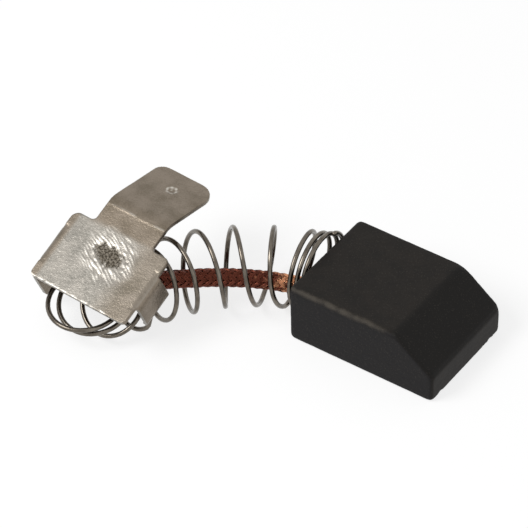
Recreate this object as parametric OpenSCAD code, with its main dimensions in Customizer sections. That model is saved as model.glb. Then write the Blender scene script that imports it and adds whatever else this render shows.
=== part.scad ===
// Motor carbon brush: a pressed carbon block with a bevelled contact end, a copper braid
// tamped into its rear face, a compression spring round the braid, and a folded
// sheet-metal terminal cap with a push-on blade.
// Origin: middle of the block's bottom wide face. +X runs to the contact end, +Z is up.

/* [Carbon block] */
// Length of the carbon block, rear face to toe
block_l = 14.8; // [10:0.1:24]
// Width of the carbon block
block_w = 11; // [9:0.1:18]
// Thickness of the carbon block
block_h = 5.9; // [5:0.1:9]
// Length of the bevel on the contact end
bevel_l = 3.9; // [2:0.1:6]
// Drop of the bevel, top face to toe
bevel_drop = 3; // [1.5:0.1:4]
// Rounding where the bevel runs into the toe
toe_r = 0.9; // [0.3:0.1:1.4]
// Rounding of the block's other pressed edges
edge_r = 0.25; // [0.1:0.05:0.5]

/* [Braid hole and tamping] */
// Diameter of the hole for the braid in the rear face
hole_d = 2.6; // [2.3:0.1:3.2]
// Depth of the hole
hole_depth = 5; // [3:0.1:7]
// Place of the hole across the block, from its middle
hole_y = -1.2; // [-1.8:0.1:0.5]
// Height of the hole's axis over the bottom face
hole_z = 2.3; // [2:0.1:3.2]
// How far the tamped copper powder stays below the rear face
tamp_recess = 0.15; // [0:0.05:0.5]

/* [Braid] */
// Diameter of the copper braid
braid_d = 1.7; // [1.2:0.1:1.8]
// Height of the braid's carriers over the braid's hollows
weave_depth = 0.12; // [0.05:0.01:0.2]
// Number of carriers wound each way
carriers = 6; // [4:1:8]
// Length in which a carrier goes once round the braid
braid_lay = 6; // [4:0.5:9]
// Thickness of the braid's end, flattened by the weld
weld_flat = 0.9; // [0.6:0.1:1.2]

/* [Spring] */
// Diameter of the spring wire
wire_d = 0.44; // [0.3:0.02:0.5]
// Outer diameter of the spring
coil_od = 7.4; // [6.6:0.1:8.4]
// Number of turns
turns = 11.8; // [11:0.1:12.2]
// Number of closed turns against the block
closed_turns = 2.8; // [1.5:0.1:3]
// Spacing of the open turns
open_pitch = 1.85; // [1.4:0.05:2.5]
// Spacing of the last turns, which crowd under the cap
cap_pitch = 0.46; // [0.4:0.02:0.6]

/* [Terminal cap] */
// Length of the cap's plate, ear to ear
cap_l = 10.6; // [9.6:0.1:12]
// Width of the cap's plate
cap_w = 7.1; // [6.8:0.1:8.5]
// Thickness of the sheet
sheet_t = 0.45; // [0.3:0.05:0.6]
// Inside radius of the ears' folds
fold_r = 0.4; // [0.2:0.05:0.6]
// How far the ears stand proud of the plate's ends
ear_proud = 0.3; // [0.1:0.05:0.5]
// Width of the ears where they leave the plate
ear_w = 3.4; // [2.6:0.1:4]
// Depth of the ear next to the block, from the plate's top
ear_depth = 3.6; // [2.8:0.1:4.5]
// Length of that ear's turned-in lip
lip_l = 0.6; // [0.4:0.1:1]
// Depth of the far ear, from the plate's top
far_ear_depth = 5; // [4.2:0.1:5.6]
// Width of the far ear below its neck
far_ear_w = 6.6; // [5.6:0.1:6.8]
// Width of the push-on blade
blade_w = 6.4; // [5.4:0.1:6.6]
// Length of the blade's root, in line with the plate
blade_root = 2.1; // [1.5:0.1:3]
// Length of the blade beyond its bend
blade_l = 6.5; // [5:0.1:9]
// Angle by which the blade is bent down
blade_bend = 32; // [0:1:45]
// Diameter of the detent dimple in the blade
dimple_d = 1.3; // [0.8:0.1:1.8]

/* [Lie of the cap] */
// Distance of the cap's middle behind the block's rear face
cap_back = 14.68; // [14:0.02:15.5]
// Distance of the cap's middle to the side of the block's middle
cap_side = 13.25; // [12.5:0.05:14]
// How far the plate presses the spring's turns below their own height
cap_sink = 0.65; // [0.3:0.05:1.2]
// Roll of the cap: its blade side is raised
cap_roll = 23.6; // [15:0.1:30]
// Pitch of the cap
cap_dip = 2.1; // [-4:0.1:6]
// Yaw of the cap
cap_yaw = -1.9; // [-8:0.1:6]

/* [Hidden] */
gap = 0.02;
fine = 96;
rear_x = -block_l / 2;
body_col = [0.16, 0.15, 0.14];
tin_col = [0.68, 0.67, 0.63];

// Rounded outline: p = [x, y, r] for each corner, in order anticlockwise.
function unit(v) = v / norm(v);
function xy(p) = [p[0], p[1]];
function prev(p, i) = xy(p[(i + len(p) - 1) % len(p)]);
function next(p, i) = xy(p[(i + 1) % len(p)]);
function din(p, i) = unit(prev(p, i) - xy(p[i]));
function dout(p, i) = unit(next(p, i) - xy(p[i]));
function half(p, i) = acos(din(p, i) * dout(p, i)) / 2;
function cut(p, i) = p[i][2] / tan(half(p, i));
function mid(p, i) = xy(p[i]) + unit(din(p, i) + dout(p, i)) * p[i][2] / sin(half(p, i));
function convex(p, i) = cross(dout(p, i), din(p, i)) > 0;

// Space between a corner and its rounding.
module corner(p, i) {
    v = xy(p[i]);
    difference() {
        polygon([v + cut(p, i) * din(p, i), 1.5 * v - 0.5 * mid(p, i), v + cut(p, i) * dout(p, i)]);
        translate(mid(p, i)) circle(r = p[i][2], $fn = fine);
    }
}

module rounded(p) {
    difference() {
        union() {
            polygon([for (q = p) xy(q)]);
            for (i = [0 : len(p) - 1])
                if (p[i][2] > 0 && !convex(p, i)) corner(p, i);
        }
        for (i = [0 : len(p) - 1])
            if (p[i][2] > 0 && convex(p, i)) corner(p, i);
    }
}

module block_side() {
    rounded([[rear_x, 0, edge_r], [-rear_x, 0, edge_r], [-rear_x, block_h - bevel_drop, toe_r],
        [-rear_x - bevel_l, block_h, edge_r], [rear_x, block_h, edge_r]]);
}

module block_plan() {
    rounded([[rear_x, -block_w / 2, edge_r], [-rear_x, -block_w / 2, edge_r],
        [-rear_x, block_w / 2, edge_r], [rear_x, block_w / 2, edge_r]]);
}

module block_end() {
    rounded([[0, -block_w / 2, edge_r], [block_h, -block_w / 2, edge_r],
        [block_h, block_w / 2, edge_r], [0, block_w / 2, edge_r]]);
}

module carbon_block() {
    color(body_col)
    difference() {
        intersection() {
            translate([0, block_w / 2 + 1, 0]) rotate([90, 0, 0])
                linear_extrude(block_w + 2) block_side();
            translate([0, 0, -1]) linear_extrude(block_h + 2) block_plan();
            translate([block_l / 2 + 1, 0, 0]) rotate([0, -90, 0])
                linear_extrude(block_l + 2) block_end();
        }
        translate([rear_x - 1, hole_y, hole_z]) rotate([0, 90, 0])
            cylinder(d = hole_d, h = hole_depth + 1, $fn = fine);
    }
}

// Copper powder tamped round the braid in the block's hole.
module tamping_plug() {
    color([0.62, 0.34, 0.2])
    translate([rear_x + tamp_recess, hole_y, hole_z]) rotate([0, 90, 0])
        difference() {
            cylinder(d = hole_d - 2 * gap, h = hole_depth - tamp_recess - gap, $fn = fine);
            translate([0, 0, -1])
                cylinder(d = braid_d + 2 * gap, h = hole_depth + 2, $fn = fine);
        }
}

// Bezier curve through any number of poles.
function lerp(a, b, t) = a + (b - a) * t;
function bez(p, t) = len(p) == 1 ? p[0]
    : bez([for (i = [0 : len(p) - 2]) lerp(p[i], p[i + 1], t)], t);
function dbez(p, t) = bez([for (i = [0 : len(p) - 2]) p[i + 1] - p[i]], t);
function smooth(x) = let(c = min(1, max(0, x))) c * c * (3 - 2 * c);

// Side and upward directions square to a heading.
function side(n) = unit(cross(n, [0, 0, 1]));
function lift(n) = cross(side(n), n);

// Skin over rings of the same number of points, closed at both ends.
module skin(rings) {
    m = len(rings);
    n = len(rings[0]);
    polyhedron(
        points = [for (r = rings) for (q = r) q],
        faces = concat(
            [for (i = [0 : m - 2]) for (k = [0 : n - 1]) for (h = [0, 1])
                let(a = i * n + k, b = i * n + (k + 1) % n)
                h == 0 ? [a, b, b + n] : [a, b + n, a + n]],
            [[for (k = [n - 1 : -1 : 0]) k]],
            [[for (k = [0 : n - 1]) (m - 1) * n + k]]),
        convexity = 10);
}

// Lie of the cap, from the block's rear face. The spring's turns carry its plate.
ear_x = cap_l / 2 + ear_proud;
cap_z = coil_od - cap_sink;
cap_at = [rear_x - cap_back, -cap_side, cap_z];
cap_u = [cos(cap_yaw) * cos(cap_dip), sin(cap_yaw) * cos(cap_dip), -sin(cap_dip)];
cap_v = [cos(cap_yaw) * sin(cap_dip) * sin(cap_roll) - sin(cap_yaw) * cos(cap_roll),
    sin(cap_yaw) * sin(cap_dip) * sin(cap_roll) + cos(cap_yaw) * cos(cap_roll),
    cos(cap_dip) * sin(cap_roll)];
cap_n = cross(cap_u, cap_v);
function on_cap(p) = cap_at + p[0] * cap_u + p[1] * cap_v + p[2] * cap_n;

// Terminal cap: one folded sheet. Plate's top in the plane z = 0, blade towards +Y.
relief = 0.35;
blade_x = 0.1;
blade_r = 2;
lip_bend = 25;
neck_l = 0.35;
outer_r = fold_r + sheet_t;
fold_x = ear_x - outer_r;
dimple_h = 0.15;
dimple_r = (dimple_d * dimple_d / 4 + dimple_h * dimple_h) / (2 * dimple_h);
dimple_back = 2.6;

module sheet() {
    translate([0, 0, -sheet_t]) linear_extrude(sheet_t) children();
}

// Bent strip of sheet: a side profile in X and Z, extruded over the width w.
module strip(w, profile) {
    translate([0, w / 2, 0]) rotate([90, 0, 0]) linear_extrude(w) rounded(profile);
}

module plate() {
    b = blade_x - blade_w / 2;
    c = blade_x + blade_w / 2;
    y = cap_w / 2;
    sheet() difference() {
        rounded([[-cap_l / 2, -y, 0.5], [cap_l / 2, -y, 0.5], [cap_l / 2, y, 0.5], [c, y, 0.4],
            [c, y + blade_root, 0], [b, y + blade_root, 0], [b, y, 0.4], [-cap_l / 2, y, 0.8]]);
        for (s = [-1, 1])
            translate([s * (fold_x + 1) - 1, -ear_w / 2 - relief])
                square([2, ear_w + 2 * relief]);
    }
}

// Ear next to the block, ending in a short turned-in lip.
module ear() {
    t = sheet_t;
    d = ear_depth - lip_l * cos(lip_bend);
    lip = [ear_x - lip_l * sin(lip_bend), -ear_depth];
    strip(ear_w, [[fold_x - 1, -t, 0], [ear_x - t, -t, fold_r],
        [ear_x - t, t * tan(lip_bend / 2) - d, fold_r],
        [lip[0] - t * cos(lip_bend), lip[1] + t * sin(lip_bend), 0], [lip[0], lip[1], 0],
        [ear_x, -d, outer_r], [ear_x, 0, outer_r], [fold_x - 1, 0, 0]]);
}

// Far ear, a neck and a wide head.
module far_ear() {
    t = sheet_t;
    d = far_ear_depth;
    n = ear_w / 2;
    h = far_ear_w / 2;
    head = outer_r + neck_l;
    mirror([1, 0, 0]) intersection() {
        strip(far_ear_w + 1, [[fold_x - 1, -t, 0], [ear_x - t, -t, fold_r], [ear_x - t, -d, 0],
            [ear_x, -d, 0], [ear_x, 0, outer_r], [fold_x - 1, 0, 0]]);
        translate([fold_x - 2, 0, 0]) rotate([0, 90, 0]) linear_extrude(outer_r + 3)
            rounded([[-1, -n, 0], [head, -n, 0.2], [head, -h, 0.4], [d, -h, 0.6],
                [d, h, 0.6], [head, h, 0.4], [head, n, 0.2], [-1, n, 0]]);
    }
}

// Push-on blade, bent down beyond its root, with rounded tip corners and a pressed dimple.
module blade() {
    t = sheet_t;
    w = blade_w / 2;
    bend_l = blade_r * tan(blade_bend / 2);
    way = [cos(blade_bend), -sin(blade_bend)];
    out = [sin(blade_bend), cos(blade_bend)];
    corner = [bend_l, 0];
    inner = [bend_l - t * tan(blade_bend / 2), -t];
    tip = corner + (bend_l + blade_l) * way;
    under = tip - t * out;
    translate([blade_x, cap_w / 2 + blade_root, 0]) rotate([0, 0, 90]) {
        intersection() {
            strip(blade_w, [[-blade_root, -t, 0], [inner[0], inner[1], blade_r - t],
                [under[0], under[1], 0], [tip[0], tip[1], 0], [corner[0], corner[1], blade_r],
                [-blade_root, 0, 0]]);
            translate([corner[0], 0, 0]) rotate([0, blade_bend, 0]) {
                difference() {
                    translate([0, 0, -9]) linear_extrude(18)
                        rounded([[-12, -w, 0], [bend_l + blade_l, -w, 1.8],
                            [bend_l + blade_l, w, 1], [-12, w, 0]]);
                    translate([bend_l + blade_l - dimple_back, 0, dimple_r - dimple_h])
                        sphere(r = dimple_r, $fn = 64);
                }
            }
        }
        translate([corner[0], 0, 0]) rotate([0, blade_bend, 0])
            translate([bend_l + blade_l - dimple_back, 0, 0]) intersection() {
                translate([0, 0, dimple_r - t - dimple_h]) sphere(r = dimple_r, $fn = 64);
                translate([-1.5, -1.5, -1 - t / 2]) cube([3, 3, 1]);
            }
    }
}

module terminal_cap() {
    color(tin_col)
    translate(cap_at) rotate([cap_roll, cap_dip, cap_yaw]) {
        plate();
        ear();
        far_ear();
        blade();
    }
}

// Compression spring, right-handed, with closed turns at the block. The table, the cap's
// plate and the ear next to the block press its turns. Poles are from the block's rear face.
coil_r = (coil_od - wire_d) / 2;
rest = coil_od / 2;
touch = 0.03;
spring_axis = [[-wire_d / 2 - 0.12, 0.6, rest - 0.5], [-2.4, -0.6, rest - 1.2], [-7.4, -2.5, rest + 1.5],
    [-13.4, -11, rest + 0.2], [-10.2, -10.6, rest + 0.2], [-16.1, -14.3, rest - 1]];
spring_lean = [[-1, -0.09, 0], [-0.23, 0.01, 0.08], [-0.86, -0.43, -0.55], [-0.71, -1.44, 0.54],
    [0.23, -0.78, 0.07], [0.01, -0.01, 0.6]];
closed_pitch = 0.6;
opening_turns = 0.27;
closing_from_turns = 8.9;
closing_turns = 1.73;
under_cap_turns = 8.2;
spring_fine = 24;
spring_steps = floor(turns * spring_fine);
function pitch(u) = closed_pitch + (open_pitch - closed_pitch) * smooth((u - closed_turns) / opening_turns)
    - (open_pitch - cap_pitch) * smooth((u - closing_from_turns) / closing_turns);
way = [for (k = 0, s = 0; k <= spring_steps; s = s + pitch((k + 0.5) / spring_fine), k = k + 1) s];

// Amount by which a pressed turn gives way, rounded off over k.
function give(x, k) = x > 9 * k ? x : k * ln(1 + exp(x / k));
function off_plate(p) = p - cap_n
    * give((p - cap_at) * cap_n + sheet_t + wire_d / 2 + touch + 0.05, 0.1);
function off_ear(p) = p - cap_u
    * give((p - cap_at) * cap_u - ear_x + sheet_t + wire_d / 2 + touch + 0.05, 0.08);
function off_table(p) = p + [0, 0, give(wire_d / 2 + touch - p[2], 0.03)];

function spring_line(i) =
    let(t = way[i] / way[spring_steps],
        n = unit(bez(spring_lean, t)),
        a = 360 * i / spring_fine + 24.5,
        p = [rear_x, 0, 0] + bez(spring_axis, t) + coil_r * (cos(a) * lift(n) + sin(a) * side(n)),
        q = off_plate(p))
    off_table(i > under_cap_turns * spring_fine ? off_ear(q) : q);
line = [for (i = [0 : spring_steps]) spring_line(i)];

function spring_ring(i) =
    let(h = unit(line[min(i + 1, spring_steps)] - line[max(i - 1, 0)]),
        n = unit(bez(spring_lean, way[i] / way[spring_steps])),
        v = unit(n - (n * h) * h),
        w = cross(h, v))
    [for (k = [0 : 7]) line[i] + wire_d / 2 * (cos(45 * k) * v + sin(45 * k) * w)];

module coil_spring() {
    color([0.45, 0.43, 0.4])
    skin([for (i = [0 : spring_steps]) spring_ring(i)]);
}

// Braid, tamped in the block's hole, through the spring to the weld under the plate.
weld_l = 2.6;
weld_w = 1.5 * braid_d;
flattening = 3.5;
weld = on_cap([weld_l / 2, 1.2, -sheet_t - gap - weld_flat / 2]);
mouth = [rear_x, hole_y, hole_z];
in_hole = hole_depth - 2 * gap;
braid_way = [mouth, mouth + [-2.9, -0.4, 0], mouth + [-8.4, -3.1, 0.7], mouth + [-9.9, -6.4, 1],
    mouth + [-11.1, -8.6, 1.9], weld + 2.7 * cap_u - cap_n, weld];
braid_line = concat(
    [for (i = [0 : 19]) mouth + [in_hole * (1 - i / 20), 0, 0]],
    [for (i = [0 : 79]) bez(braid_way, i / 80)],
    [for (i = [0 : 11]) weld - weld_l * i / 11 * cap_u]);
last = len(braid_line) - 1;
run = [for (k = 0, s = 0; k <= last; k = k + 1,
    s = s + (k > last ? 0 : norm(braid_line[k] - braid_line[k - 1]))) s];

function heading(i) = unit(braid_line[min(i + 1, last)] - braid_line[max(i - 1, 0)]);

function braid_ring(i) =
    let(n = heading(i),
        flat = smooth((run[i] - run[last] + weld_l) / flattening + 1),
        up = lerp(lift(n), cap_n, flat),
        v = unit(up - (up * n) * n),
        w = cross(n, v),
        wind = 360 * run[i] / braid_lay)
    [for (k = [0 : 23])
        let(a = 15 * k,
            weave = cos(carriers * (a + wind)) * cos(carriers * (a - wind)),
            r = 1 - weave_depth / braid_d * (1 - weave) * (1 - flat))
        braid_line[i] + r / 2 * (lerp(braid_d, weld_w, flat) * cos(a) * w
            + lerp(braid_d, weld_flat, flat) * sin(a) * v)];

module copper_braid() {
    color([0.6, 0.28, 0.18])
    skin([for (i = [0 : last]) braid_ring(i)]);
}

carbon_block();
tamping_plug();
copper_braid();
coil_spring();
terminal_cap();
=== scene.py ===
"""Motor carbon brush: pressed carbon block, shunt braid, compression spring, terminal cap."""
import logging
import math
from dataclasses import dataclass, field
from enum import Enum

import bmesh
import bpy
import numpy as np
from mathutils import Matrix, Vector


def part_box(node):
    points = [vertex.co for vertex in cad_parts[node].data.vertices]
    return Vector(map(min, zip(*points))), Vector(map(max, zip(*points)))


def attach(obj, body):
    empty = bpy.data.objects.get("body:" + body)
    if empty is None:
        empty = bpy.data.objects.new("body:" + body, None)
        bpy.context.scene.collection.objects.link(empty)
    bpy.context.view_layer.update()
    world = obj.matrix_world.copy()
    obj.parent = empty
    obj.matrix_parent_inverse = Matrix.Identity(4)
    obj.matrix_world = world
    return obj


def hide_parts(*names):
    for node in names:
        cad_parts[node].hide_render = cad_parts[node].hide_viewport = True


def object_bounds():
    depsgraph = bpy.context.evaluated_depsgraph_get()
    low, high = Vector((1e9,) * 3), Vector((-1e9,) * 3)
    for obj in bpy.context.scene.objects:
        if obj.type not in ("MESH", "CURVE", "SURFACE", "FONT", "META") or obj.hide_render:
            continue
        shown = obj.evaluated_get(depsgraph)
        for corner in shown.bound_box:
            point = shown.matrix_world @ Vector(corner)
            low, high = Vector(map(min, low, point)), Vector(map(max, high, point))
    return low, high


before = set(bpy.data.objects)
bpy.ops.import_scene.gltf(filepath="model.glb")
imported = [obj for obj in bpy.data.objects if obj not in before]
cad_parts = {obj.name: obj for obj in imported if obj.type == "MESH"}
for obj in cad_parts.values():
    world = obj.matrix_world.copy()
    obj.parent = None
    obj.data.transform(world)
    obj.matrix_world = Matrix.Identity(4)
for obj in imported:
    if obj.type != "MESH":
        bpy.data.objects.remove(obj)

Array = np.ndarray
Tree = bpy.types.NodeTree
Node = bpy.types.Node
Socket = bpy.types.NodeSocket
Material = bpy.types.Material
Piece = bpy.types.Object

MM = 0.001
CAD_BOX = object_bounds()
log = logging.getLogger("brush")


class Slot(Enum):
    """Material slots of the record."""

    CARBON = "carbon"
    POWDER = "copper_powder"
    WIRE = "copper_wire"
    STEEL = "spring_steel"
    SHEET = "tinned_sheet"


# ---------------------------------------------------------------- vectors and noise


def unit(v: Array) -> Array:
    """Vectors divided by their lengths."""
    return v / np.linalg.norm(v, axis=-1, keepdims=True)


def dot(a: Array, b: Array) -> Array:
    """Scalar products of rows, kept as a column."""
    return (a * b).sum(-1, keepdims=True)


def smooth(x: Array) -> Array:
    """3c^2 - 2c^3 of x held between 0 and 1."""
    c = np.clip(x, 0, 1)
    return c * c * (3 - 2 * c)


def lerp(a: Array, b: Array, t: Array) -> Array:
    """a at t = 0, b at t = 1."""
    return a + (b - a) * t


def bezier(poles: Array, t: Array) -> Array:
    """Bezier curve by repeated halving between poles.

    Args:
        poles: Any number of poles, one a row.
        t: Places on the curve, 0 to 1.

    Returns:
        One point for each t.
    """
    p = np.broadcast_to(np.asarray(poles, float), (len(t), *np.shape(poles)))
    while p.shape[1] > 1:
        p = lerp(p[:, :-1], p[:, 1:], t[:, None, None])
    return p[:, 0]


def give(x: Array, k: float) -> Array:
    """k ln(1 + e^(x/k)): nothing while x is well below 0, x itself well above."""
    return k * np.logaddexp(0, x / k)


def side(n: Array) -> Array:
    """Level direction to the right of heading n."""
    return unit(np.cross(n, [0, 0, 1]))


def lift(n: Array) -> Array:
    """Upward direction square to heading n."""
    return np.cross(side(n), n)


def turned(x: Array, y: Array, degrees: float) -> tuple[Array, Array]:
    """Distances along and across a direction that lies degrees from x towards y."""
    c, s = math.cos(math.radians(degrees)), math.sin(math.radians(degrees))
    return x * c + y * s, y * c - x * s


def run_of(path: Array) -> Array:
    """Length run along a path at each of its points."""
    steps = np.linalg.norm(np.diff(path, axis=0), axis=1)
    return np.concatenate([[0], np.cumsum(steps)])


def ripple(p: Array, size: float, seed: int, waves: int = 28) -> Array:
    """Seeded smooth noise, about -1 to 1: a sum of plane cosine waves of random heading.

    Args:
        p: Points in mm, one a row.
        size: Middle wavelength in mm.
        seed: Seed of the headings and phases.
        waves: Number of waves.

    Returns:
        One value for each point.
    """
    rng = np.random.default_rng(seed)
    heading = unit(rng.normal(size=(waves, 3)))
    k = heading * 2 * np.pi / size * rng.uniform(0.6, 1.5, (waves, 1))
    phase = rng.uniform(0, 2 * np.pi, waves)
    return np.cos(p @ k.T + phase).sum(1) * math.sqrt(0.5 / waves)


# ---------------------------------------------------------------- meshes


def tube_faces(tubes: int, rings: int, sides: int) -> list[list[int]]:
    """Faces of closed tubes whose points run tube by tube, ring by ring.

    Args:
        tubes: Number of tubes.
        rings: Rings in each tube.
        sides: Points in each ring.

    Returns:
        Quads of the walls and one flat face at each end.
    """
    i = np.arange(tubes * rings * sides).reshape(tubes, rings, sides)
    a, b = i[:, :-1], i[:, 1:]
    walls = np.stack([a, np.roll(a, -1, 2), np.roll(b, -1, 2), b], -1).reshape(-1, 4)
    return walls.tolist() + i[:, 0, ::-1].tolist() + i[:, -1].tolist()


def mesh_of(name: str, points: Array, faces: list[list[int]], layers: dict[str, Array]) -> Piece:
    """Makes a smooth-shaded object from points in mm.

    Args:
        name: Name of the piece.
        points: Points in mm in the row frame.
        faces: Lists of point numbers.
        layers: Point attributes by name, of one or three numbers a point.

    Returns:
        The object, at the origin.
    """
    mesh = bpy.data.meshes.new(name)
    mesh.from_pydata(points * MM, [], faces)
    return finished(name, mesh, layers)


def finished(name: str, mesh: bpy.types.Mesh, layers: dict[str, Array]) -> Piece:
    """Stores point attributes, keeps the mesh in the model's box and links its object.

    Args:
        name: Name of the piece.
        mesh: Mesh in metres.
        layers: Point attributes by name.

    Returns:
        The object, at the origin.
    """
    co = np.empty(3 * len(mesh.vertices), np.float32)
    mesh.vertices.foreach_get("co", co)
    co = np.clip(co.reshape(-1, 3), CAD_BOX[0], CAD_BOX[1])
    mesh.vertices.foreach_set("co", co.astype(np.float32).ravel())
    for key, values in layers.items():
        wide = values.ndim == 2
        kept = mesh.attributes.new(key, "FLOAT_VECTOR" if wide else "FLOAT", "POINT")
        kept.data.foreach_set("vector" if wide else "value", values.astype(np.float32).ravel())
    mesh.shade_smooth()
    mesh.update()
    piece = bpy.data.objects.new(name, mesh)
    bpy.context.collection.objects.link(piece)
    return piece


@dataclass(frozen=True)
class Lie:
    """Place of a piece: its own axes u, v, n and its origin in the row frame, in mm."""

    at: Array
    u: Array
    v: Array
    n: Array

    def world(self, p: Array) -> Array:
        """Row-frame points of local points."""
        return self.at + p @ np.stack([self.u, self.v, self.n])

    def local(self, p: Array) -> Array:
        """Local points of row-frame points."""
        return (p - self.at) @ np.stack([self.u, self.v, self.n]).T


@dataclass
class FineSkin:
    """Even, fine mesh over a CAD solid, in the solid's own axes in mm, ready to be shaped."""

    node: str
    lie: Lie
    voxel: float
    rounds: int
    fills: Array = field(default_factory=lambda: np.empty((0, 2, 3)))
    mesh: bpy.types.Mesh = field(init=False)
    points: Array = field(init=False)
    normals: Array = field(init=False)

    def __post_init__(self) -> None:
        """Merges a copy of the node's mesh, remeshes it in small cubes and smooths the steps."""
        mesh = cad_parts[self.node].data.copy()
        mesh.materials.clear()
        co = np.empty(3 * len(mesh.vertices), np.float32)
        mesh.vertices.foreach_get("co", co)
        co = self.lie.local(co.reshape(-1, 3) / MM)
        mesh.vertices.foreach_set("co", co.astype(np.float32).ravel())
        bm = bmesh.new()
        bm.from_mesh(mesh)
        bmesh.ops.remove_doubles(bm, verts=bm.verts, dist=1e-4)
        for lo, hi in self.fills:
            place = Matrix.Translation((lo + hi) / 2) @ Matrix.Diagonal((*(hi - lo), 1))
            bmesh.ops.create_cube(bm, size=1, matrix=place)
        bm.to_mesh(mesh)
        bm.free()
        rough = bpy.data.objects.new("rough", mesh)
        bpy.context.collection.objects.link(rough)
        cubes = rough.modifiers.new("cubes", "REMESH")
        cubes.mode = "VOXEL"
        cubes.voxel_size = self.voxel
        relax = rough.modifiers.new("relax", "SMOOTH")
        relax.factor = 0.5
        relax.iterations = self.rounds
        bpy.context.view_layer.update()
        graph = bpy.context.evaluated_depsgraph_get()
        self.mesh = bpy.data.meshes.new_from_object(rough.evaluated_get(graph))
        bpy.data.objects.remove(rough)
        count = len(self.mesh.vertices)
        co, no = np.empty(3 * count, np.float32), np.empty(3 * count, np.float32)
        self.mesh.vertices.foreach_get("co", co)
        self.mesh.vertex_normals.foreach_get("vector", no)
        self.points = co.reshape(-1, 3).astype(float)
        self.normals = no.reshape(-1, 3).astype(float)

    def piece(self, name: str, height: Array, layers: dict[str, Array]) -> Piece:
        """Moves each point along its normal and puts the mesh in its place.

        Args:
            name: Name of the piece.
            height: Move of each point, outwards, in mm.
            layers: Point attributes by name.

        Returns:
            The object, in metres.
        """
        p = self.lie.world(self.points + self.normals * height[:, None]) * MM
        self.mesh.vertices.foreach_set("co", p.astype(np.float32).ravel())
        self.mesh.name = name
        return finished(name, self.mesh, layers)


# ---------------------------------------------------------------- materials


def colour(code: str) -> tuple[float, float, float, float]:
    """Linear colour of an sRGB hex value such as "#B87333"."""
    s = np.array([int(code[i:i + 2], 16) for i in (1, 3, 5)]) / 255
    r, g, b = np.where(s <= 0.04045, s / 12.92, ((s + 0.055) / 1.055) ** 2.4)
    return float(r), float(g), float(b), 1.0


def add(tree: Tree, kind: str, values: dict | None = None, links: dict | None = None,
        **settings: object) -> Node:
    """Adds one node.

    Args:
        tree: Tree that it goes into.
        kind: Node type, without the leading "ShaderNode".
        values: Constants by input name or number.
        links: Output sockets by input name or number.
        **settings: Properties of the node.

    Returns:
        The node.
    """
    node = tree.nodes.new("ShaderNode" + kind)
    for key, value in settings.items():
        setattr(node, key, value)
    for key, value in (values or {}).items():
        node.inputs[key].default_value = value
    for key, socket in (links or {}).items():
        tree.links.new(socket, node.inputs[key])
    return node


def blank(name: str) -> tuple[Material, Tree]:
    """New material with an empty tree."""
    material = bpy.data.materials.new(name)
    material.use_nodes = True
    material.node_tree.nodes.clear()
    return material, material.node_tree


def band(tree: Tree, value: Socket, low: float, high: float, top: float = 1.0) -> Socket:
    """Smooth step of a value: 0 at low, top at high."""
    return add(tree, "MapRange", {"From Min": low, "From Max": high, "To Max": top},
               {"Value": value}, interpolation_type="SMOOTHSTEP").outputs[0]


def mixed(tree: Tree, share: Socket, a: Socket | str, b: Socket | str) -> Socket:
    """Colour a at share 0, b at share 1; hex values stand for plain colours."""
    values = {n: colour(c) for n, c in ((6, a), (7, b)) if isinstance(c, str)}
    links = {n: c for n, c in ((6, a), (7, b)) if not isinstance(c, str)}
    return add(tree, "Mix", values, {0: share, **links}, data_type="RGBA").outputs[2]


def sum_of(tree: Tree, *terms: tuple[Socket, float], start: float = 0.0) -> Socket:
    """Start plus the values, each times its weight."""
    total = None
    for socket, weight in terms:
        values = {1: weight, 2: start} if total is None else {1: weight}
        links = {0: socket} if total is None else {0: socket, 2: total}
        total = add(tree, "Math", values, links, operation="MULTIPLY_ADD").outputs[0]
    return total


def noise(tree: Tree, place: Socket, size: float, detail: float = 2.0) -> Socket:
    """Noise whose blobs are about size mm across, on places in mm."""
    return add(tree, "TexNoise", {"Scale": 1 / size, "Detail": detail, "Roughness": 0.6},
               {"Vector": place}).outputs[0]


def layer(tree: Tree, name: str) -> Socket:
    """Number stored on a piece's points."""
    return add(tree, "Attribute", attribute_name=name).outputs["Fac"]


def places(tree: Tree, name: str) -> Socket:
    """Places in mm stored on a piece's points."""
    return add(tree, "Attribute", attribute_name=name).outputs["Vector"]


def millimetres(tree: Tree) -> Socket:
    """Places on a piece in the row frame, in mm."""
    return add(tree, "Mapping", {"Scale": (1 / MM,) * 3},
               {"Vector": add(tree, "TexCoord").outputs["Object"]}).outputs[0]


def close(tree: Tree, shader: Node) -> None:
    """Leads the shader to the output."""
    add(tree, "OutputMaterial", links={"Surface": shader.outputs[0]})


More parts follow.
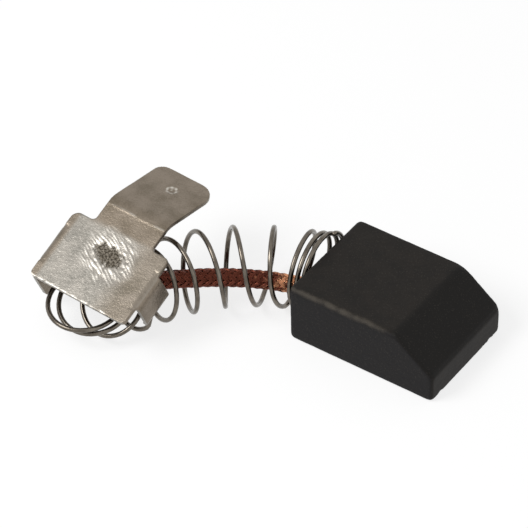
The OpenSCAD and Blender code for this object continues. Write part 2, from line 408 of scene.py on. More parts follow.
@dataclass(frozen=True)
class PressedCarbon:
    """Electrographite: pressed from powder, baked and ground, so it is matt and near black,
    with a faint sheen at low angles, a fine grain and grey dust where it rubs."""

    body: str = "#1A1612"
    shade: str = "#0A0806"
    painted_side_shade: str = "#161517"
    dust: str = "#5E5850"
    # The real grain is about 0.02 mm, too fine to show, so it is drawn coarser.
    grain: float = 0.09
    cloud: float = 1.6

    def material(self) -> Material:
        """Clouded body colour, grain in bump and colour, dust from the scuff layer, and painted
        shade: a darker, greyer tone on the side faces and a darker bevel.
        """
        material, tree = blank("pressed_electrographite")
        place = millimetres(tree)
        scuff = layer(tree, "scuff")
        face = layer(tree, "side")
        ground = layer(tree, "bevel")
        cloud = noise(tree, place, self.cloud, 4)
        grain = noise(tree, place, self.grain, 3)
        flake = noise(tree, place, self.grain * 1.4, 0)
        base = mixed(tree, band(tree, cloud, 0.35, 0.7, 0.6), self.body, self.shade)
        # Painted shade: faces that look across the block get a darker, greyer tone.
        base = mixed(tree, sum_of(tree, (face, 0.75)), base, self.painted_side_shade)
        # Painted shade: the bevel is darkened towards the shade colour.
        base = mixed(tree, sum_of(tree, (ground, 0.9)), base, self.shade)
        base = mixed(tree, band(tree, flake, 0.64, 0.78, 0.12), base, self.dust)
        base = mixed(tree, band(tree, sum_of(tree, (scuff, 1.0), (grain, 1.0)), 0.7, 1.6, 0.6),
                     base, self.dust)
        bump = add(tree, "Bump", {"Strength": 0.5, "Distance": 0.012 * MM},
                   {"Height": sum_of(tree, (grain, 0.7), (cloud, 0.5))})
        rough = sum_of(tree, (grain, 0.2), (scuff, 0.15), start=0.48)
        close(tree, add(tree, "BsdfPrincipled", {"IOR": 1.5, "Specular IOR Level": 0.18},
                        {"Base Color": base, "Roughness": rough, "Normal": bump.outputs[0]}))
        return material


@dataclass(frozen=True)
class TampedCopperPowder:
    """Copper powder tamped dry round the braid: dull, brown and grainy, with a few bright
    grains."""

    body: str = "#6E4030"
    bright: str = "#C98A66"
    grain: float = 0.14

    def material(self) -> Material:
        """Grains in colour and bump."""
        material, tree = blank("tamped_copper_powder")
        place = millimetres(tree)
        cells = add(tree, "TexVoronoi", {"Scale": 1 / self.grain}, {"Vector": place})
        specks = noise(tree, place, self.grain * 1.6)
        base = mixed(tree, band(tree, specks, 0.5, 0.68), self.body, self.bright)
        bump = add(tree, "Bump", {"Strength": 0.8, "Distance": 0.06 * MM},
                   {"Height": cells.outputs[0]}, invert=True)
        close(tree, add(tree, "BsdfPrincipled", {"Metallic": 0.8, "Roughness": 0.55},
                        {"Base Color": base, "Normal": bump.outputs[0]}))
        return material


@dataclass(frozen=True)
class BraidedCopper:
    """Bare copper wire, drawn and braided: bright where the wires spread out at the block,
    darkened to red-brown along the rest, with shine on top of each wire and painted shade
    in the weave's hollows and on each wire's inner side."""

    bright: str = "#DFA47D"
    dark: str = "#6E3B2D"
    painted_weave_shade: str = "#32160F"

    def material(self) -> Material:
        """Bright or dark copper by the fresh layer and noise, with painted shade from the depth
        layer in the weave's hollows.
        """
        material, tree = blank("braided_copper_wire")
        drawn = places(tree, "drawn")
        fresh = layer(tree, "fresh")
        depth = layer(tree, "depth")
        tarnish = noise(tree, drawn, 0.55, 3)
        share = band(tree, sum_of(tree, (fresh, 0.9), (tarnish, 1.5)), 1.02, 1.4)
        base = mixed(tree, share, self.dark, self.bright)
        # Painted shade: colour darkens towards the shade colour in the weave's hollows and under
        # each wire.
        base = mixed(tree, band(tree, depth, 0.25, 1.0, 0.85), base, self.painted_weave_shade)
        rough = sum_of(tree, (tarnish, 0.3), start=0.12)
        close(tree, add(tree, "BsdfPrincipled", {"Metallic": 0.9},
                        {"Base Color": base, "Roughness": rough}))
        return material


@dataclass(frozen=True)
class DrawnSpringSteel:
    """Hard-drawn spring wire: grey-brown steel with fine lines along the wire from the die,
    and sharp highlights."""

    body: str = "#7C756B"
    dark: str = "#4C463F"
    line: float = 0.05

    def material(self) -> Material:
        """Die lines in colour, roughness and bump; the layer drawn runs along the wire."""
        material, tree = blank("hard_drawn_spring_wire")
        drawn = places(tree, "drawn")
        along = add(tree, "Mapping", {"Scale": (1.0, 1.0, 0.06)}, {"Vector": drawn}).outputs[0]
        lines = noise(tree, along, self.line, 2)
        patch = noise(tree, drawn, 1.3, 3)
        base = mixed(tree, band(tree, sum_of(tree, (lines, 0.5), (patch, 0.6)), 0.35, 0.75),
                     self.body, self.dark)
        bump = add(tree, "Bump", {"Strength": 0.25, "Distance": 0.01 * MM}, {"Height": lines})
        rough = sum_of(tree, (lines, 0.1), (patch, 0.14), start=0.08)
        close(tree, add(tree, "BsdfPrincipled", {"Metallic": 1.0},
                        {"Base Color": base, "Roughness": rough, "Normal": bump.outputs[0]}))
        return material


@dataclass(frozen=True)
class TinnedSheet:
    """Tinned steel sheet, stamped and folded: frosted grey with bright specks on the plate,
    smoother and browner on the blade, beaten bright round the weld and burnt at its middle."""

    frost: str = "#99948C"
    cloud: str = "#7C7972"
    smooth: str = "#857A6D"
    rub: str = "#6E6456"
    white: str = "#DAD5CC"
    burn: str = "#403A31"
    scorch: str = "#787166"
    speck: float = 0.13

    def material(self) -> Material:
        """Colours and roughness by the plate, blade, beaten and burnt layers; the blade layer also
        carries painted shade on the ears and the plate's ends.
        """
        material, tree = blank("tinned_steel_sheet")
        place = places(tree, "sheet")
        blade = layer(tree, "blade")
        beaten = layer(tree, "beaten")
        burnt = layer(tree, "burnt")
        painted_highlight = layer(tree, "painted_highlight")
        crest = layer(tree, "crest")
        specks = noise(tree, place, self.speck, 2)
        clouds = noise(tree, place, 2.4, 4)
        grit = noise(tree, place, 0.32, 3)
        base = mixed(tree, band(tree, sum_of(tree, (clouds, 0.7), (grit, 0.4)), 0.4, 0.72),
                     self.frost, self.cloud)
        base = mixed(tree, band(tree, specks, 0.58, 0.72, 0.5), base, self.white)
        worn = mixed(tree, band(tree, sum_of(tree, (clouds, 0.8), (specks, 0.3)), 0.42, 0.72),
                     self.smooth, self.rub)
        # The blade layer brings the worn tone: real on the blade, painted shade on the ears and
        # the plate's ends.
        base = mixed(tree, blade, base, worn)
        # Painted highlight: the crease line, the open rim and the dimple are lightened towards
        # white.
        base = mixed(tree, band(tree, painted_highlight, 0.0, 1.0, 0.75), base, self.white)
        stripe = mixed(tree, band(tree, crest, 0.2, 0.9), self.frost, self.white)
        base = mixed(tree, sum_of(tree, (beaten, 0.85)), base, stripe)
        soot = band(tree, sum_of(tree, (burnt, 1.0), (specks, 1.2), (grit, 1.0)), 1.2, 2.0)
        spot = noise(tree, place, 0.2, 2)
        burn = mixed(tree, band(tree, spot, 0.42, 0.6), self.burn, self.scorch)
        base = mixed(tree, soot, base, burn)
        rough = sum_of(tree, (grit, 0.15), (soot, 0.25), (blade, -0.06), (beaten, -0.05),
                       start=0.33)
        bump = add(tree, "Bump", {"Strength": 0.55, "Distance": 0.03 * MM},
                   {"Height": sum_of(tree, (specks, 1.0), (grit, 0.8), (blade, -0.2))})
        close(tree, add(tree, "BsdfPrincipled", {"Metallic": 0.92},
                        {"Base Color": base, "Roughness": rough, "Normal": bump.outputs[0]}))
        return material


# ---------------------------------------------------------------- the brush


def dress(piece: Piece, slot: Slot, material: Material, *nodes: str) -> Piece:
    """Gives a piece its material and its place in the frame.

    Args:
        piece: The object.
        slot: Material slot of the record; not used.
        material: Its finish.
        *nodes: CAD nodes that it stands for.

    Returns:
        The same object.
    """
    piece.data.materials.append(material)
    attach(piece, "root")
    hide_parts(*nodes)
    log.info("%s: %d points", piece.name, len(piece.data.vertices))
    return piece


@dataclass
class CarbonBlock:
    """Pressed block, bevelled at its contact end. Sizes in mm."""

    bevel_l: float = 3.9
    bevel_drop: float = 3.0
    voxel: float = 0.1
    wear: float = 0.07
    chip: float = 0.3
    finish: PressedCarbon = PressedCarbon()

    @property
    def box(self) -> tuple[Array, Array]:
        """Lowest and highest corner of the CAD solid."""
        lo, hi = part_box("carbon_block")
        return np.array(lo) / MM, np.array(hi) / MM

    def depths(self, p: Array) -> Array:
        """Depth of each point below each of the seven faces, the bevel last."""
        lo, hi = self.box
        slope = unit(np.array([self.bevel_drop, 0.0, self.bevel_l]))
        start = np.array([hi[0] - self.bevel_l, 0, hi[2]])
        return np.column_stack([p - lo, hi - p, (start - p) @ slope])

    def chips(self, p: Array, edge: Array) -> Array:
        """Depth of small broken places: bowls round seeded spots on the lower toe edge and
        the bevel's sides.

        Args:
            p: Points in mm.
            edge: Distance of each point from the nearest edge.

        Returns:
            Depth of each point's bowl.
        """
        lo, hi = self.box
        rng = np.random.default_rng(11)
        toe = np.column_stack([np.full(16, hi[0]), rng.uniform(lo[1], hi[1], 16), np.zeros(16)])
        toe[:7, 1] = rng.uniform(0.5, hi[1] - 0.8, 7)
        along = rng.uniform(0, 1, 12)
        flank = np.column_stack([hi[0] - self.bevel_l * along,
                                 np.where(rng.uniform(size=12) > 0.5, lo[1], hi[1]),
                                 hi[2] - self.bevel_drop * (1 - along)])
        spots = np.concatenate([toe, flank])
        size = np.concatenate([rng.uniform(0.2, 0.5, 16), rng.uniform(0.06, 0.16, 12)])
        away = np.linalg.norm(p[:, None] - spots[None], axis=2) / size
        bowl = smooth(1 - away) * size * self.chip
        return bowl.max(1) * smooth(1.6 - edge)

    def build(self) -> Piece:
        """Fine skin of the solid with worn edges, chips and an uneven pressed surface."""
        whole = Lie(np.zeros(3), *np.eye(3))
        skin = FineSkin("carbon_block", whole, self.voxel, 3)
        p = skin.points
        depth = self.depths(p)
        near = np.sort(depth, axis=1)
        edge, corner = near[:, 1], near[:, 2]
        rub = self.wear * (0.75 + 0.25 * ripple(p, 1.4, 3)) * np.exp(-(edge / 0.16) ** 2)
        rub += 0.12 * np.exp(-(corner / 0.3) ** 2)
        height = -rub - self.chips(p, edge) + 0.004 * ripple(p, 0.5, 4) - 0.004
        lo, hi = self.box
        run = smooth((p[:, 0] - lo[0] + 0.6) / 1.2) * smooth((hi[0] - self.bevel_l - p[:, 0]) / 2)
        line = np.hypot(p[:, 1] - lo[1], p[:, 2] - hi[2])
        scuff = run * np.exp(-(line / 0.45) ** 2) * (0.9 + 0.3 * ripple(p, 1.1, 5))
        scuff = np.maximum(scuff, 0.2 * np.exp(-(edge / 0.1) ** 2) * smooth(ripple(p, 0.8, 6)))
        return dress(skin.piece("pressed_block", height, {
            "scuff": np.clip(scuff, 0, 1),
            # side and bevel mark the faces that get painted shade in the material.
            "side": smooth((np.abs(skin.normals[:, 1]) - 0.6) / 0.3),
            "bevel": smooth((0.35 - depth[:, 6]) / 0.3),
        }), Slot.CARBON, self.finish.material(), "carbon_block")


@dataclass
class CapLie:
    """How the cap lies behind the block: sizes in mm and turns in degrees."""

    back: float = 14.68
    aside: float = 13.25
    z: float = 6.75
    roll: float = 23.6
    dip: float = 2.1
    yaw: float = -1.9

    @property
    def lie(self) -> Lie:
        """Roll about x, then dip about y, then yaw about z."""
        turn = (Matrix.Rotation(math.radians(self.yaw), 3, "Z")
                @ Matrix.Rotation(math.radians(self.dip), 3, "Y")
                @ Matrix.Rotation(math.radians(self.roll), 3, "X"))
        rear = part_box("carbon_block")[0][0] / MM
        return Lie(np.array([rear - self.back, -self.aside, self.z]), *np.array(turn).T)


@dataclass
class TerminalCap:
    """Folded sheet cap with a push-on blade. Sizes in mm in its own axes: the plate's top is
    z = 0 and the blade points along +y."""

    lie: Lie
    width: float = 7.1
    plate_end: float = 5.3
    fold_x: float = 4.7
    slit: tuple[float, float] = (1.66, 2.1)
    sheet_t: float = 0.45
    root: float = 2.1
    voxel: float = 0.07
    weld: tuple[float, float] = (0.15, 1.25)
    beaten_r: float = 2.85
    ridge: float = 0.28
    ridge_h: float = 0.024
    ridge_heading: float = -27.0
    burn_heading: float = -10.0
    burn_half: tuple[float, float] = (1.6, 0.88)
    crater: float = 0.05
    crease_h: float = 0.016
    dimple: tuple[float, float, float] = (0.1, 10.02, -2.37)
    finish: TinnedSheet = TinnedSheet()

    def closed_slits(self) -> Array:
        """Boxes over the slits beside the ears, which the stamping leaves pressed shut; each
        slit has two, the outer one lower, as the fold beside it falls."""
        boxes = []
        near, far = self.slit
        for reach, top in ((self.plate_end - 0.25, -0.03), (self.plate_end, -0.09)):
            ends = np.array([[self.fold_x, near, -self.sheet_t], [reach, far, top]])
            for flip in ([1, 1, 1], [-1, 1, 1], [1, -1, 1], [-1, -1, 1]):
                boxes.append([(ends * flip).min(0), (ends * flip).max(0)])
        return np.array(boxes)

    def weld_marks(self, p: Array, top: Array) -> tuple[Array, Array, Array]:
        """Marks of the weld: a round zone beaten into fine ridges, with a burnt hollow in it.

        The ridges are a cosine across their heading, a little bent, and broken up by noise
        that is drawn out along them.

        Args:
            p: Points in mm in the cap's axes.
            top: 1 on top of the sheet, 0 elsewhere.

        Returns:
            Beaten share, burnt share and height of the ridges at each point.
        """
        x, y = p[:, 0] - self.weld[0], p[:, 1] - self.weld[1]
        along, across = turned(x, y, self.ridge_heading)
        reach = np.hypot(along / 1.12, across) * (1 + 0.12 * ripple(p, 2.0, 21))
        beaten = smooth((self.beaten_r - reach) / 1.1) * top
        wander = 0.1 * ripple(p, 1.6, 22) + 0.03 * along ** 2
        wave = np.cos(2 * np.pi * (across + wander) / self.ridge)
        drawn = np.column_stack([along / 3.2, across, 0 * across])
        broken = smooth(0.75 + 0.8 * ripple(drawn, 0.45, 23))
        ridges = (0.5 + 0.5 * wave) * broken + 0.45 * ripple(drawn, 0.34, 24)
        along, across = turned(x, y, self.burn_heading)
        hole = np.hypot(along / self.burn_half[0], across / self.burn_half[1])
        hole *= 1 + 0.2 * ripple(p, 0.6, 25)
        return beaten, smooth((1.45 - hole) / 0.9) * top, ridges

    def painted_highlight(self, p: Array, normal: Array, crease: Array) -> Array:
        """Share of painted highlight, lightened towards white: on the crease, the plate's open rim
        and the dimple.

        Args:
            p: Points in mm in the cap's axes.
            normal: Directions that the surface faces.
            crease: 1 on the crease at the blade's bend, 0 away from it.

        Returns:
            The share at each point.
        """
        away = np.linalg.norm(p - np.array(self.dimple), axis=1)
        ring = np.exp(-((away - 0.46) / 0.12) ** 2) * (0.7 + 0.4 * ripple(p, 0.5, 32))
        ring += 0.5 * smooth(ripple(p, 0.5, 30) * 2) * (away < 0.35)
        rim = smooth((-self.width / 2 + 0.26 - p[:, 1]) / 0.14) * smooth((p[:, 2] + 0.2) / 0.1)
        rim *= smooth((3.6 - p[:, 0]) / 0.8) * smooth(0.75 + ripple(p, 0.7, 31))
        # The dimple's painted highlight is kept to faces that look upwards.
        return np.max([0.4 * crease * smooth(0.6 + ripple(p, 1.5, 29)), 0.9 * rim,
                       0.9 * ring * smooth((normal[:, 2] - 0.4) / 0.3)], axis=0)

    def build(self) -> Piece:
        """Fine skin of the solid with the weld's marks, the crease, the worn tin, painted
        highlights and painted shade.
        """
        skin = FineSkin("terminal_cap", self.lie, self.voxel, 2, self.closed_slits())
        p, normal = skin.points, skin.normals
        top = smooth((normal[:, 2] - 0.5) / 0.4) * smooth((p[:, 2] + 0.3) / 0.1)
        beaten, burnt, ridges = self.weld_marks(p, top)
        bend = self.width / 2 + self.root
        crease = np.exp(-((p[:, 1] - bend + 0.05) / 0.13) ** 2) * top
        height = (self.ridge_h * beaten * ridges * (1 - 0.4 * burnt) - 0.015 * beaten
                  + burnt * (0.028 * ripple(p, 0.34, 26) - self.crater) + self.crease_h * crease
                  + 0.004 * ripple(p, 0.28, 27) + 0.008 * ripple(p, 2.6, 28) - 0.006)
        blade = smooth((p[:, 1] - self.width / 2 + 0.5) / 0.9) * smooth((3.6 - abs(p[:, 0])) / 0.1)
        # Painted shade: faces that look along x, the ears, take the blade's darker tone.
        ears = smooth((np.abs(normal[:, 0]) - 0.5) / 0.3)
        # Painted shade: the plate's top darkens towards +x and near the fold past x = -4.3.
        ends = np.maximum(0.75 * smooth((p[:, 0] - 0.8) / 3),
                          0.9 * smooth((-4.3 - p[:, 0]) / 0.5))
        piece = skin.piece("folded_cap", height, {
            "sheet": p, "blade": np.max([blade, ears, ends * top], axis=0), "beaten": beaten,
            "crest": np.clip(ridges, 0, 1), "burnt": burnt,
            "painted_highlight": self.painted_highlight(p, normal, crease)})
        return dress(piece, Slot.SHEET, self.finish.material(), "terminal_cap")


@dataclass
class CoilSpring:
    """Right-handed spring of round wire on a bent axis, its last turns pressed by the cap.
    Sizes in mm, turns counted from the block."""

    cap: Lie
    wire_d: float = 0.44
    coil_od: float = 7.4
    turns: float = 11.8
    closed_turns: float = 2.8
    open_pitch: float = 1.85
    cap_pitch: float = 0.46
    closed_pitch: float = 0.6
    opening_turns: float = 0.27
    closing_from_turns: float = 8.9
    closing_turns: float = 1.73
    under_cap_turns: float = 8.2
    touch: float = 0.03
    start: float = 24.5
    sheet_t: float = 0.45
    ear_x: float = 5.6
    rings: int = 48
    sides: int = 20
    finish: DrawnSpringSteel = DrawnSpringSteel()

    def pitch(self, u: Array) -> Array:
        """Advance per turn: closed, then open, then crowded under the cap."""
        opened = smooth((u - self.closed_turns) / self.opening_turns)
        closing = smooth((u - self.closing_from_turns) / self.closing_turns)
        return (self.closed_pitch + (self.open_pitch - self.closed_pitch) * opened
                - (self.open_pitch - self.cap_pitch) * closing)

    def lean(self, t: Array) -> Array:
        """Direction that each turn faces, a Bezier curve of directions."""
        return unit(bezier([[-1, -0.09, 0], [-0.23, 0.01, 0.08], [-0.86, -0.43, -0.55],
                            [-0.71, -1.44, 0.54], [0.23, -0.78, 0.07], [0.01, -0.01, 0.6]], t))

    def axis(self, t: Array) -> Array:
        """Middle of the turns, a Bezier curve from the block's rear face."""
        rest = self.coil_od / 2
        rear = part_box("carbon_block")[0][0] / MM
        return np.array([rear, 0, 0]) + bezier(
            [[-self.wire_d / 2 - 0.12, 0.6, rest - 0.5], [-2.4, -0.6, rest - 1.2],
             [-7.4, -2.5, rest + 1.5], [-13.4, -11, rest + 0.2], [-10.2, -10.6, rest + 0.2],
             [-16.1, -14.3, rest - 1]], t)

    def line(self, u: Array) -> tuple[Array, Array]:
        """Wire's middle line: a circle square to the lean, carried along the axis, then
        pushed off the plate, the ear and the table where it would run into them.

        Args:
            u: Turns from the wire's first end.

        Returns:
            Points of the line, and the lean at each.
        """
        steps = np.arange(int(self.turns * 24) + 1)
        way = np.concatenate([[0], np.cumsum(self.pitch((steps[:-1] + 0.5) / 24))])
        t = np.interp(u * 24, steps, way) / way[-1]
        n = self.lean(t)
        a = np.radians(360 * u + self.start)[:, None]
        r = (self.coil_od - self.wire_d) / 2
        p = self.axis(t) + r * (np.cos(a) * lift(n) + np.sin(a) * side(n))
        clear = self.wire_d / 2 + self.touch
        over = (p - self.cap.at) @ self.cap.n + self.sheet_t + clear + 0.05
        p = p - self.cap.n * give(over, 0.1)[:, None]
        past = (p - self.cap.at) @ self.cap.u - self.ear_x + self.sheet_t + clear + 0.05
        p = np.where((u > self.under_cap_turns)[:, None],
                     p - self.cap.u * give(past, 0.08)[:, None], p)
        p[:, 2] += give(clear - p[:, 2], 0.03)
        return p, n

    def build(self) -> Piece:
        """Round wire round the middle line, its cut ends slightly broken at the rim."""
        last = int(self.turns * 24) / 24
        u = np.linspace(0, last, int(last * self.rings) + 1)
        line, n = self.line(u)
        h = unit(np.gradient(line, axis=0))
        v = unit(n - dot(n, h) * h)
        w = np.cross(h, v)
        a = np.linspace(0, 2 * np.pi, self.sides, endpoint=False)[None, :, None]
        r = np.full(len(u), self.wire_d / 2)
        r[[0, -1]] *= 0.82
        spoke = (np.cos(a) * v[:, None] + np.sin(a) * w[:, None]) * r[:, None, None]
        run = run_of(line)
        drawn = np.stack(np.broadcast_arrays(
            r[:, None] * np.cos(a[..., 0]), r[:, None] * np.sin(a[..., 0]), run[:, None]), -1)
        piece = mesh_of("coiled_wire", (line[:, None] + spoke).reshape(-1, 3),
                        tube_faces(1, len(u), self.sides), {"drawn": drawn.reshape(-1, 3)})
        return dress(piece, Slot.STEEL, self.finish.material(), "coil_spring")


@dataclass(frozen=True)
class BraidRun:
    """The braid's middle line in mm, the length run along it, the directions above (v) and
    beside it (w), its half height and half width, and its flattened share."""

    line: Array
    run: Array
    v: Array
    w: Array
    tall: Array
    wide: Array
    flat: Array


@dataclass
class CopperBraid:
    """Round braid of fine wires from the block's hole to its weld under the cap. Sizes in mm."""

    cap: Lie
    diameter: float = 1.7
    lay: float = 6.0
    carriers: int = 8
    wires: int = 4
    # Real wires are about 0.05 mm, too fine to show, so fewer and thicker ones are drawn.
    wire_d: float = 0.1
    wire_gap: float = 1.26
    weave: float = 0.05
    hole: tuple[float, float, float] = (-1.2, 2.3, 5.0)
    gap: float = 0.02
    sheet_t: float = 0.45
    weld_flat: float = 0.9
    weld_l: float = 2.6
    weld_spread: float = 1.5
    flattening: float = 3.5
    step: float = 0.1
    sides: int = 5
    core_sides: int = 20
    bright_l: float = 4.0
    finish: BraidedCopper = BraidedCopper()

    def route(self) -> tuple[Array, Array]:
        """Line straight in the hole, a Bezier curve through the spring, straight under the weld.

        Returns:
            Points of the middle line at even steps, and the length run at each.
        """
        cap = self.cap
        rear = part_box("carbon_block")[0][0] / MM
        y, z, depth = self.hole
        mouth = np.array([rear, y, z])
        weld = cap.world(np.array(
            [self.weld_l / 2, 1.2, -self.sheet_t - self.gap - self.weld_flat / 2]))
        poles = [mouth] + [mouth + m for m in np.array(
            [[-2.9, -0.4, 0], [-8.4, -3.1, 0.7], [-9.9, -6.4, 1], [-11.1, -8.6, 1.9]])]
        poles += [weld + 2.7 * cap.u - cap.n, weld]
        inside = np.linspace(depth - 2 * self.gap, 0, 20, endpoint=False)[:, None] * [1, 0, 0]
        end = np.linspace(0, self.weld_l, 12)[1:, None] * -cap.u
        path = np.concatenate([mouth + inside, bezier(np.array(poles), np.linspace(0, 1, 400)),
                               weld + end])
        run = run_of(path)
        even = np.linspace(0, run[-1], int(run[-1] / self.step) + 1)
        return np.column_stack([np.interp(even, run, path[:, k]) for k in range(3)]), even

    def laid(self) -> BraidRun:
        """Route with its directions, round at first and flattened towards the weld."""
        line, run = self.route()
        heading = unit(np.gradient(line, axis=0))
        flat = smooth((run - run[-1] + self.weld_l) / self.flattening + 1)
        up = lerp(lift(heading), self.cap.n, flat[:, None])
        v = unit(up - dot(up, heading) * heading)
        half = self.diameter / 2
        return BraidRun(line, run, v, np.cross(heading, v), lerp(half, self.weld_flat / 2, flat),
                        lerp(half, self.weld_spread * half, flat), flat)

    def wound(self, r: BraidRun, way: int) -> tuple[Array, Array, Array]:
        """All wires that wind one way, each passing over two and under two of the others.

        A wire's place round the braid is its carrier's start plus or minus one turn a lay;
        its height is the braid's radius plus the weave times a cosine of period four
        crossings, opposite for the two ways.

        Args:
            r: The braid's middle line.
            way: 1 for one way round, -1 for the other.

        Returns:
            Points by wire, ring and place round the wire; their depth in the weave, the share of
            painted shade, larger where a wire sinks and on its inner side; and their places along
            the wire, for its pattern.
        """
        tamped = smooth((self.hole[2] - r.run) / 0.5)
        weave = self.weave * (1 - 0.8 * r.flat) * (1 - tamped)
        i = np.arange(self.carriers)[:, None]
        strand = np.arange(self.wires) - (self.wires - 1) / 2
        over = way * np.cos(np.pi * (i + way * self.carriers * r.run / self.lay) - np.pi / 4)
        start = (2 * np.pi * i / self.carriers
                 + strand * self.wire_d * self.wire_gap / (self.diameter / 2))[..., None]
        angle = start + way * 2 * np.pi * r.run / self.lay
        jitter = 0.012 * np.sin(r.run * 2.1 + 5 * start + 1.7 * strand[:, None])
        height = (weave * over)[:, None] - self.wire_d / 2 - weave + jitter
        angle, height = (part.reshape(-1, len(r.run))
                         for part in np.broadcast_arrays(angle, height))
        aside, above = np.cos(angle)[..., None] * r.w, np.sin(angle)[..., None] * r.v
        centre = (r.line + (r.wide + height)[..., None] * aside
                  + (r.tall + height)[..., None] * above)
        t = unit(np.gradient(centre, axis=1))
        e = unit(aside + above - dot(aside + above, t) * t)
        f = np.cross(t, e)
        a = np.linspace(0, 2 * np.pi, self.sides, endpoint=False)[:, None]
        spoke = np.cos(a) * e[..., None, :] + np.sin(a) * f[..., None, :]
        # Painted shade share: it grows where a wire sinks into the weave and on the wire's inner
        # side.
        sunk = 0.5 - 0.5 * (height + self.wire_d / 2 + weave) / self.weave
        depth = 0.5 * sunk[..., None] + 0.25 * (1 - np.cos(a[:, 0]))
        flow = np.stack(np.broadcast_arrays(
            height[..., None], 0.4 * angle[..., None], r.run[:, None] * np.ones(self.sides)), -1)
        return centre[..., None, :] + self.wire_d / 2 * spoke, depth, flow

    def core(self, r: BraidRun) -> Array:
        """Dark filling under both layers of wire, ring by ring, coloured as painted shade inside
        the braid.
        """
        a = np.linspace(0, -2 * np.pi, self.core_sides, endpoint=False)[None, :, None]
        inset = 2 * self.wire_d + self.gap
        return (r.line[:, None] + (r.wide - inset)[:, None, None] * np.cos(a) * r.w[:, None]
                + (r.tall - inset)[:, None, None] * np.sin(a) * r.v[:, None])

    def build(self) -> Piece:
        """Wires wound both ways round a dark core, flattened where the weld holds them."""
        r = self.laid()
        ways = [self.wound(r, way) for way in (1, -1)]
        rings, depth, flow = (np.concatenate(part) for part in zip(*ways))
        core = self.core(r)
        base = rings[..., 0].size
        faces = tube_faces(*rings.shape[:3])
        faces += [[base + k for k in face] for face in tube_faces(1, *core.shape[:2])]
        beyond = np.clip(r.run - self.hole[2], 0, None)
        fresh = np.exp(-(beyond / self.bright_l) ** 2)[:, None]
        points = np.concatenate([rings.reshape(-1, 3), core.reshape(-1, 3)])
        piece = mesh_of("shunt_braid", points, faces, {
            "fresh": np.concatenate([np.broadcast_to(fresh, rings.shape[:3]).ravel(),
                                     np.broadcast_to(fresh, core.shape[:2]).ravel()]),
            # The core takes the full painted shade.
            "depth": np.concatenate([depth.ravel(), np.ones(core[..., 0].size)]),
            "drawn": np.concatenate([flow.reshape(-1, 3), core.reshape(-1, 3)])})
        return dress(piece, Slot.WIRE, self.finish.material(), "copper_braid")


@dataclass
class TampingPlug:
    """Tamped powder round the braid: the CAD solid, with its finish."""

    finish: TampedCopperPowder = TampedCopperPowder()

    def build(self) -> Piece:
        """Puts the finish on the CAD node."""
        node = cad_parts["tamping_plug"]
        node.data.materials.clear()
        node.data.materials.append(self.finish.material())
        log.info("tamping_plug: finish only")
        return node


# ---------------------------------------------------------------- studio


def sight(azimuth: float, elevation: float) -> Vector:
    """Direction away from the brush, by degrees round it from its front and above it."""
    a, e = math.radians(azimuth), math.radians(elevation)
    return Vector((math.sin(a) * math.cos(e), -math.cos(a) * math.cos(e), math.sin(e)))


@dataclass(frozen=True)
class Lamp:
    """Square lamp facing the brush: where it stands, the share of full light that it gives a
    surface facing it, and its width in mm."""

    name: str
    azimuth: float
    elevation: float
    share: float
    size: float


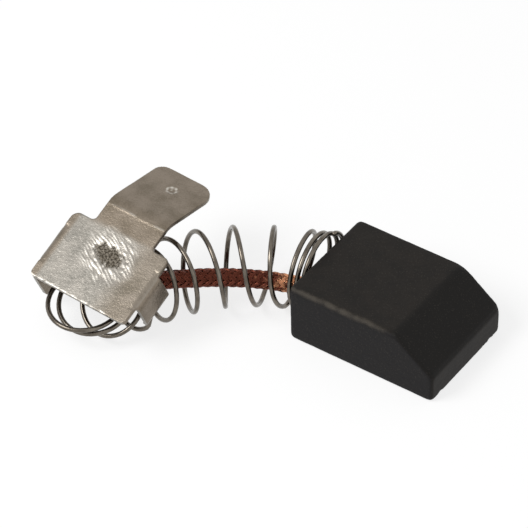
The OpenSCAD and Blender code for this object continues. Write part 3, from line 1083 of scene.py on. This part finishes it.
@dataclass
class Studio:
    """Pale floor, soft lamps and the camera. Lengths in mm, angles in degrees."""

    azimuth: float = 36.08
    elevation: float = 41.63
    roll: float = -1.4
    distance: float = 269.0
    aim: tuple[float, float, float] = (-13.17, -1.11, 2.5)
    lens: float = 206.3
    lamps: tuple[Lamp, ...] = (Lamp("key", -35, 46, 0.55, 140), Lamp("fill", 70, 30, 0.05, 260))
    lamp_distance: float = 300.0
    ambient: float = 0.4
    floor_drop: float = 0.02
    floor_half: float = 2000.0
    floor_glow: float = 0.775

    def camera(self) -> None:
        """Camera on the far end of the sight line, turned about it by the roll."""
        back = sight(self.azimuth, self.elevation)
        turn = back.to_track_quat("Z", "Y").to_matrix()
        turn = turn @ Matrix.Rotation(math.radians(self.roll), 3, "Z")
        data = bpy.data.cameras.new("camera")
        data.lens = self.lens
        data.clip_start = 0.01
        data.clip_end = 10.0
        eye = bpy.data.objects.new("camera", data)
        place = Vector(self.aim) + back * self.distance
        eye.matrix_world = Matrix.Translation(place * MM) @ turn.to_4x4()
        bpy.context.collection.objects.link(eye)
        bpy.context.scene.camera = eye

    def light(self, lamp: Lamp) -> None:
        """Puts a lamp in its place, facing the brush."""
        back = sight(lamp.azimuth, lamp.elevation)
        reach = self.lamp_distance * MM
        data = bpy.data.lights.new(lamp.name, "AREA")
        data.size = lamp.size * MM
        data.energy = lamp.share * (math.pi * reach) ** 2
        thing = bpy.data.objects.new(lamp.name, data)
        turn = back.to_track_quat("Z", "Y").to_matrix().to_4x4()
        thing.matrix_world = Matrix.Translation(Vector(self.aim) * MM + back * reach) @ turn
        bpy.context.collection.objects.link(thing)

    def seen(self, tree: Tree) -> Socket:
        """1 for camera, glossy and transmission rays."""
        path = add(tree, "LightPath").outputs
        either = add(tree, "Math", links={0: path["Is Camera Ray"], 1: path["Is Glossy Ray"]},
                     operation="MAXIMUM").outputs[0]
        return add(tree, "Math", links={0: either, 1: path["Is Transmission Ray"]},
                   operation="MAXIMUM").outputs[0]

    def world(self) -> None:
        """Even soft light, shown as white."""
        world = bpy.data.worlds.new("studio")
        world.use_nodes = True
        tree = world.node_tree
        tree.nodes.clear()
        strength = add(tree, "MapRange", {"To Min": self.ambient, "To Max": 1.0},
                       {"Value": self.seen(tree)}).outputs[0]
        shade = add(tree, "Background", {"Color": (1, 1, 1, 1)}, {"Strength": strength})
        add(tree, "OutputWorld", links={"Surface": shade.outputs[0]})
        bpy.context.scene.world = world

    def floor(self) -> None:
        """Plain sheet, white where it is seen, with the brush's soft shadow on it."""
        mesh = bpy.data.meshes.new("floor")
        r, z = self.floor_half * MM, -self.floor_drop * MM
        mesh.from_pydata([(-r, -r, z), (r, -r, z), (r, r, z), (-r, r, z)], [], [(0, 1, 2, 3)])
        piece = bpy.data.objects.new("floor", mesh)
        bpy.context.collection.objects.link(piece)
        material, tree = blank("white_paper")
        paper = add(tree, "BsdfDiffuse", {"Color": (0.8, 0.8, 0.8, 1)})
        faint = add(tree, "BsdfDiffuse", {"Color": (0.3, 0.3, 0.3, 1)})
        glow = add(tree, "Emission", {"Color": (1, 1, 1, 1), "Strength": self.floor_glow})
        both = add(tree, "AddShader", links={0: faint.outputs[0], 1: glow.outputs[0]})
        close(tree, add(tree, "MixShader", links={
            0: self.seen(tree), 1: paper.outputs[0], 2: both.outputs[0]}))
        mesh.materials.append(material)

    def build(self) -> None:
        """Camera, lamps, world and floor."""
        self.camera()
        for lamp in self.lamps:
            self.light(lamp)
        self.world()
        self.floor()
        view = bpy.context.scene.view_settings
        view.view_transform = "Standard"
        log.info("studio: camera, %d lamps, floor", len(self.lamps))


def main() -> None:
    """Builds the studio and the brush."""
    logging.basicConfig(level=logging.INFO, format="%(message)s")
    Studio().build()
    cap = CapLie().lie
    CarbonBlock().build()
    TampingPlug().build()
    CopperBraid(cap).build()
    CoilSpring(cap).build()
    TerminalCap(cap).build()


if __name__ == "__main__":
    main()
